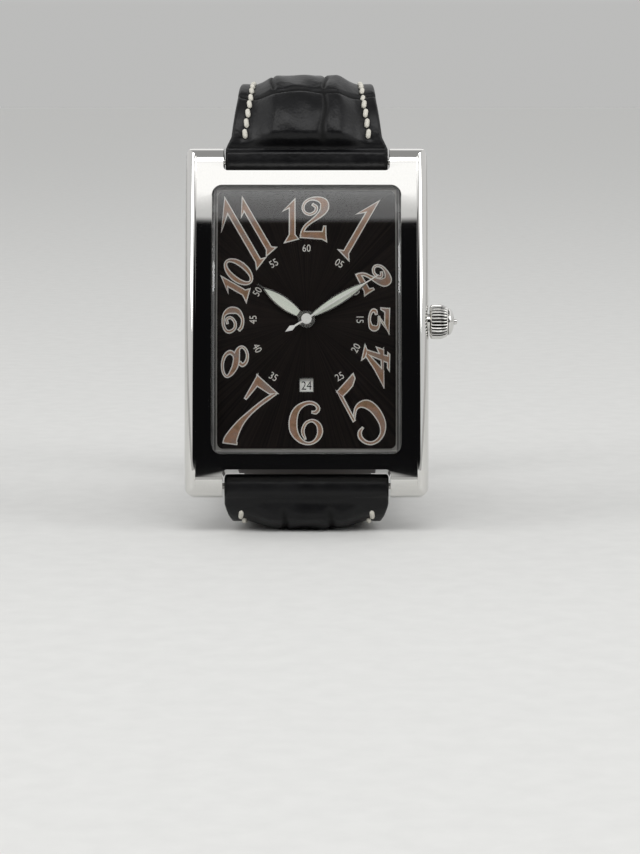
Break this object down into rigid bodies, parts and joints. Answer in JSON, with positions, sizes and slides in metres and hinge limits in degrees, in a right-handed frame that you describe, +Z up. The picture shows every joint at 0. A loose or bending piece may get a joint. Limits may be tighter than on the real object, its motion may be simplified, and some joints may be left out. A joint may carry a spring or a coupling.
{
  "type": "quartz wristwatch",
  "caption": "Rectangular quartz wristwatch with a curved steel case, black numeral dial, fluted crown and padded leather strap on a pin buckle, standing on its strap.",
  "frame": {"origin": "on the table, in the middle of the strap's flat rest patch", "axes": "+Z up, -Y the way the dial faces, +X to the wearer's 3 o'clock side (the crown)"},
  "size_m": [0.0363, 0.0511, 0.0603],
  "materials": {
    "case_steel": "polished stainless steel",
    "crystal_glass": "clear mineral glass with a bevelled edge",
    "gasket_clear": "pale moulded nylon",
    "gasket_rubber": "black rubber",
    "dial_black": "black sunburst lacquer on brass",
    "hand_steel": "polished plated steel",
    "lume": "pale greenish luminous filling",
    "holder_plastic": "moulded acetal",
    "plate_plastic": "moulded filled plastic",
    "movement_brass": "stamped brass",
    "movement_steel": "stamped steel",
    "cell_steel": "satin nickel-plated steel",
    "board_green": "glass-fibre board",
    "chip_black": "moulded black resin",
    "coil_copper": "enamelled copper wire",
    "rotor_magnet": "sintered magnet",
    "date_white": "white print on brass",
    "bar_steel": "drawn stainless steel",
    "strap_leather": "black alligator-grain padded leather",
    "lining_leather": "smooth dark lining leather",
    "buckle_steel": "polished stainless steel"
  },
  "bodies": {
    "watch": {"case_body": "case_steel", "crystal": "crystal_glass", "crystal_gasket": "gasket_clear", "dial": "dial_black", "case_back": "case_steel", "case_back_gasket": "gasket_rubber", "case_back_screws": "case_steel", "crown_tube": "movement_steel", "movement_holder": "holder_plastic", "main_plate": "plate_plastic", "train_bridge": "movement_brass", "bridge_screws": "movement_steel", "battery": "cell_steel", "battery_clamp": "movement_steel", "clamp_screw": "movement_steel", "circuit_board": "board_green", "control_chip": "chip_black", "quartz_crystal": "cell_steel", "coil_core": "movement_steel", "coil_winding": "coil_copper", "stator": "movement_steel", "date_jumper": "movement_steel", "upper_spring_bar": "bar_steel", "lower_spring_bar": "bar_steel", "bar_springs": "bar_steel", "upper_strap": "strap_leather", "upper_strap_lining": "lining_leather", "lower_strap": "strap_leather", "lower_strap_lining": "lining_leather", "fixed_keeper": "strap_leather", "buckle_bar": "buckle_steel"},
    "seconds": {"second_hand": "hand_steel", "seconds_wheel": "movement_brass"},
    "minutes": {"minute_hand": "hand_steel", "minute_lume": "lume", "cannon_pinion": "movement_steel", "center_wheel": "movement_brass"},
    "hours": {"hour_hand": "hand_steel", "hour_lume": "lume", "hour_wheel": "movement_brass"},
    "minute_work": {"minute_wheel": "movement_brass"},
    "third": {"third_wheel": "movement_brass"},
    "intermediate": {"intermediate_wheel": "movement_brass"},
    "rotor": {"rotor": "rotor_magnet"},
    "date_driver": {"date_driving_wheel": "movement_brass"},
    "date": {"date_ring": "date_white"},
    "clutch": {"sliding_pinion": "movement_steel"},
    "winder": {"crown": "case_steel", "crown_cap": "case_steel", "crown_gasket": "gasket_rubber", "stem": "movement_steel"},
    "lever": {"setting_lever": "movement_steel"},
    "upper_left_pin": {"upper_left_pin": "bar_steel"},
    "upper_right_pin": {"upper_right_pin": "bar_steel"},
    "lower_left_pin": {"lower_left_pin": "bar_steel"},
    "lower_right_pin": {"lower_right_pin": "bar_steel"},
    "keeper": {"free_keeper": "strap_leather"},
    "buckle": {"buckle_frame": "buckle_steel"},
    "tongue": {"buckle_tongue": "buckle_steel"}
  },
  "joints": [
    {"name": "seconds_turn", "type": "hinge", "parent": "watch", "child": "seconds", "pos_m": [0, -0.0187, 0.02845], "axis": [0, 0.9715, -0.2368], "continuous": true},
    {"name": "minutes_turn", "type": "hinge", "parent": "watch", "child": "minutes", "pos_m": [0, -0.0187, 0.02845], "axis": [0, 0.9715, -0.2368], "continuous": true},
    {"name": "hours_turn", "type": "hinge", "parent": "watch", "child": "hours", "pos_m": [0, -0.0187, 0.02845], "axis": [0, 0.9715, -0.2368], "continuous": true},
    {"name": "minute_wheel_turn", "type": "hinge", "parent": "watch", "child": "minute_work", "pos_m": [0.0024, -0.0187, 0.02845], "axis": [0, 0.9715, -0.2368], "continuous": true},
    {"name": "third_wheel_turn", "type": "hinge", "parent": "watch", "child": "third", "pos_m": [-0.00162, -0.01916, 0.02657], "axis": [0, 0.9715, -0.2368], "continuous": true},
    {"name": "intermediate_wheel_turn", "type": "hinge", "parent": "watch", "child": "intermediate", "pos_m": [-0.00046, -0.01808, 0.03097], "axis": [0, 0.9715, -0.2368], "continuous": true},
    {"name": "rotor_turn", "type": "hinge", "parent": "watch", "child": "rotor", "pos_m": [0.00052, -0.01768, 0.03262], "axis": [0, 0.9715, -0.2368], "continuous": true},
    {"name": "date_driver_turn", "type": "hinge", "parent": "watch", "child": "date_driver", "pos_m": [-0.00161, -0.01975, 0.02415], "axis": [0, 0.9715, -0.2368], "continuous": true},
    {"name": "date_ring_turn", "type": "hinge", "parent": "watch", "child": "date", "pos_m": [0, -0.0187, 0.02845], "axis": [0, 0.9715, -0.2368], "continuous": true, "deforming": ["date_jumper"]},
    {"name": "crown_turn", "type": "hinge", "parent": "watch", "child": "clutch", "pos_m": [0, -0.01588, 0.02776], "axis": [1, 0, 0], "continuous": true},
    {"name": "crown_pull", "type": "slide", "parent": "clutch", "child": "winder", "axis": [1, 0, 0], "range_m": [0, 0.0012]},
    {"name": "setting_lever_swing", "type": "hinge", "parent": "watch", "child": "lever", "pos_m": [0.0081, -0.01797, 0.03142], "axis": [0, -0.9715, 0.2368], "range_deg": [-0.5, 27.18]},
    {"name": "upper_left_pin_press", "type": "slide", "parent": "watch", "child": "upper_left_pin", "axis": [1, 0, 0], "range_m": [0, 0.00105], "stiffness_N_per_m": 1000, "springref_m": -0.001},
    {"name": "upper_right_pin_press", "type": "slide", "parent": "watch", "child": "upper_right_pin", "axis": [-1, 0, 0], "range_m": [0, 0.00105], "stiffness_N_per_m": 1000, "springref_m": -0.001},
    {"name": "lower_left_pin_press", "type": "slide", "parent": "watch", "child": "lower_left_pin", "axis": [1, 0, 0], "range_m": [0, 0.00105], "stiffness_N_per_m": 1000, "springref_m": -0.001},
    {"name": "lower_right_pin_press", "type": "slide", "parent": "watch", "child": "lower_right_pin", "axis": [-1, 0, 0], "range_m": [0, 0.00105], "stiffness_N_per_m": 1000, "springref_m": -0.001},
    {"name": "keeper_slide", "type": "slide", "parent": "watch", "child": "keeper", "axis": [0, 0.309, -0.9511], "range_m": [0, 0.0102]},
    {"name": "buckle_swing", "type": "hinge", "parent": "watch", "child": "buckle", "pos_m": [0, 0.01983, 0.02627], "axis": [1, 0, 0], "range_deg": [0, 6]},
    {"name": "tongue_swing", "type": "hinge", "parent": "buckle", "child": "tongue", "pos_m": [0, 0.01983, 0.02627], "axis": [1, 0, 0], "range_deg": [0, 10]}
  ],
  "couplings": [
    {"joint": "minutes_turn", "follows": "seconds_turn", "ratio": 0.016667},
    {"joint": "hours_turn", "follows": "seconds_turn", "ratio": 0.0013889},
    {"joint": "minute_wheel_turn", "follows": "seconds_turn", "ratio": -0.0055556},
    {"joint": "third_wheel_turn", "follows": "seconds_turn", "ratio": -0.13333},
    {"joint": "intermediate_wheel_turn", "follows": "seconds_turn", "ratio": -5},
    {"joint": "rotor_turn", "follows": "seconds_turn", "ratio": 30},
    {"joint": "date_driver_turn", "follows": "seconds_turn", "ratio": -0.00069444},
    {"joint": "setting_lever_swing", "follows": "crown_pull", "rad_per_m": 388.11}
  ]
}
